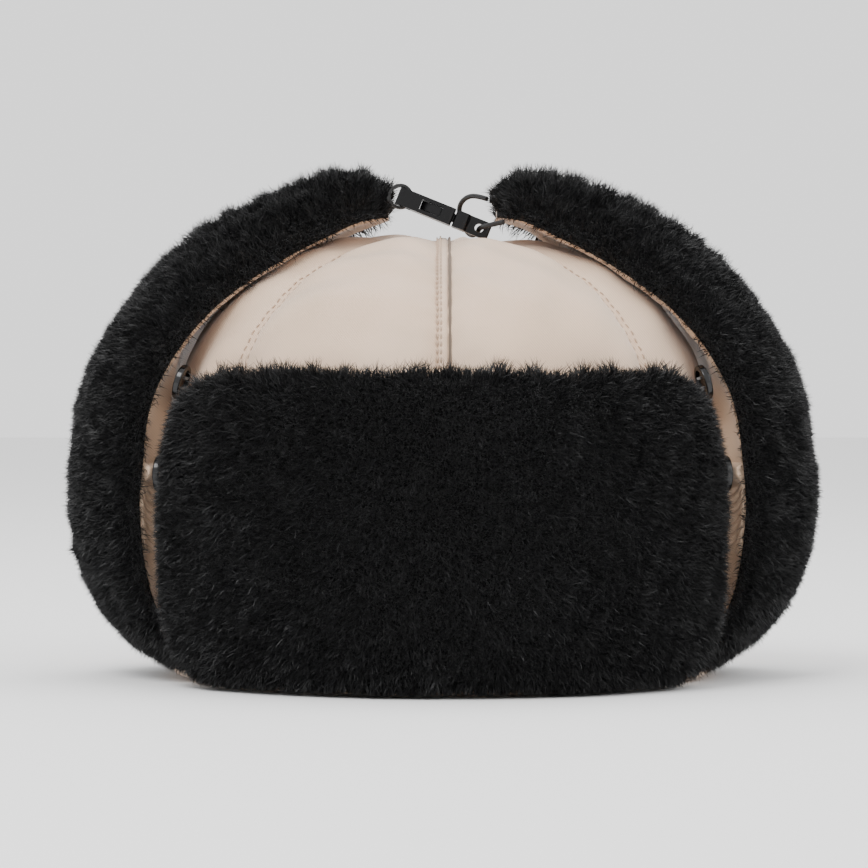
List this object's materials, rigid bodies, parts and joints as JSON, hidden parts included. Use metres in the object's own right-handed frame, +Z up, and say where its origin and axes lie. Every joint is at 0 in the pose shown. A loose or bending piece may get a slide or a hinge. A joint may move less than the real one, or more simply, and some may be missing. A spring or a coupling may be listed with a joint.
{
  "type": "trapper hat",
  "caption": "Trapper hat with a nylon crown, plush front flap and fold-down plush ear and neck flaps, the ear flaps clipped together over the crown.",
  "frame": {"origin": "on the floor under the middle of the hat", "axes": "+Z up, the hat faces -Y, +X is the wearer's left"},
  "size_m": [0.2706, 0.2598, 0.1808],
  "materials": {
    "nylon": "twill nylon with a soft sheen",
    "fur": "dense short plush pile",
    "wadding": "loose polyester wadding",
    "lining": "quilted satin lining",
    "webbing": "woven webbing and elastic",
    "clip": "moulded acetal, fine grain",
    "button": "polished"
  },
  "bodies": {
    "crown": {"crown_gore_back_left": "nylon", "crown_gore_back_right": "nylon", "crown_gore_front_left": "nylon", "crown_gore_front_right": "nylon", "crown_gore_side_left": "nylon", "crown_gore_side_right": "nylon", "crown_lining": "lining", "crown_wadding": "wadding", "crown_welt": "nylon", "front_flap_cloth": "nylon", "front_flap_fur": "fur", "front_flap_wadding": "wadding", "rim_binding": "nylon", "sweatband": "lining"},
    "left_ear_flap": {"clip_plug": "clip", "cord_tab": "webbing", "elastic_cord": "webbing", "left_ear_flap_cloth": "nylon", "left_ear_flap_fur": "fur", "left_ear_flap_shirring": "nylon", "left_ear_flap_wadding": "wadding", "left_lower_button": "button", "left_lower_button_thread": "webbing", "left_upper_button": "button", "left_upper_button_thread": "webbing"},
    "right_ear_flap": {"clip_socket": "clip", "clip_strap": "webbing", "right_ear_flap_cloth": "nylon", "right_ear_flap_fur": "fur", "right_ear_flap_shirring": "nylon", "right_ear_flap_wadding": "wadding", "right_lower_button": "button", "right_lower_button_thread": "webbing", "right_upper_button": "button", "right_upper_button_thread": "webbing"},
    "neck_flap": {"neck_flap_cloth": "nylon", "neck_flap_fur": "fur", "neck_flap_wadding": "wadding"},
    "prong_front": {"clip_prong_front": "clip"},
    "prong_back": {"clip_prong_back": "clip"}
  },
  "joints": [
    {"name": "left_ear_flap_fold", "type": "hinge", "parent": "crown", "child": "left_ear_flap", "pos_m": [0.0944, 0, 0.0025], "axis": [0, 1, 0], "range_deg": [0, 135]},
    {"name": "right_ear_flap_fold", "type": "hinge", "parent": "crown", "child": "right_ear_flap", "pos_m": [-0.0944, 0, 0.0025], "axis": [0, -1, 0], "range_deg": [0, 135]},
    {"name": "neck_flap_fold", "type": "hinge", "parent": "crown", "child": "neck_flap", "pos_m": [0, 0.1104, 0.0025], "axis": [-1, 0, 0], "range_deg": [0, 135]},
    {"name": "prong_front_squeeze", "type": "hinge", "parent": "left_ear_flap", "child": "prong_front", "pos_m": [0.00402, -0.02, 0.16298], "axis": [0.3746, 0, 0.9272], "range_deg": [-6, 0], "stiffness_Nm_per_rad": 0.001},
    {"name": "prong_back_squeeze", "type": "hinge", "parent": "left_ear_flap", "child": "prong_back", "pos_m": [0.00402, -0.012, 0.16298], "axis": [0.3746, 0, 0.9272], "range_deg": [0, 6], "stiffness_Nm_per_rad": 0.001}
  ],
  "couplings": [
    {"joint": "prong_back_squeeze", "follows": "prong_front_squeeze", "ratio": -1}
  ]
}
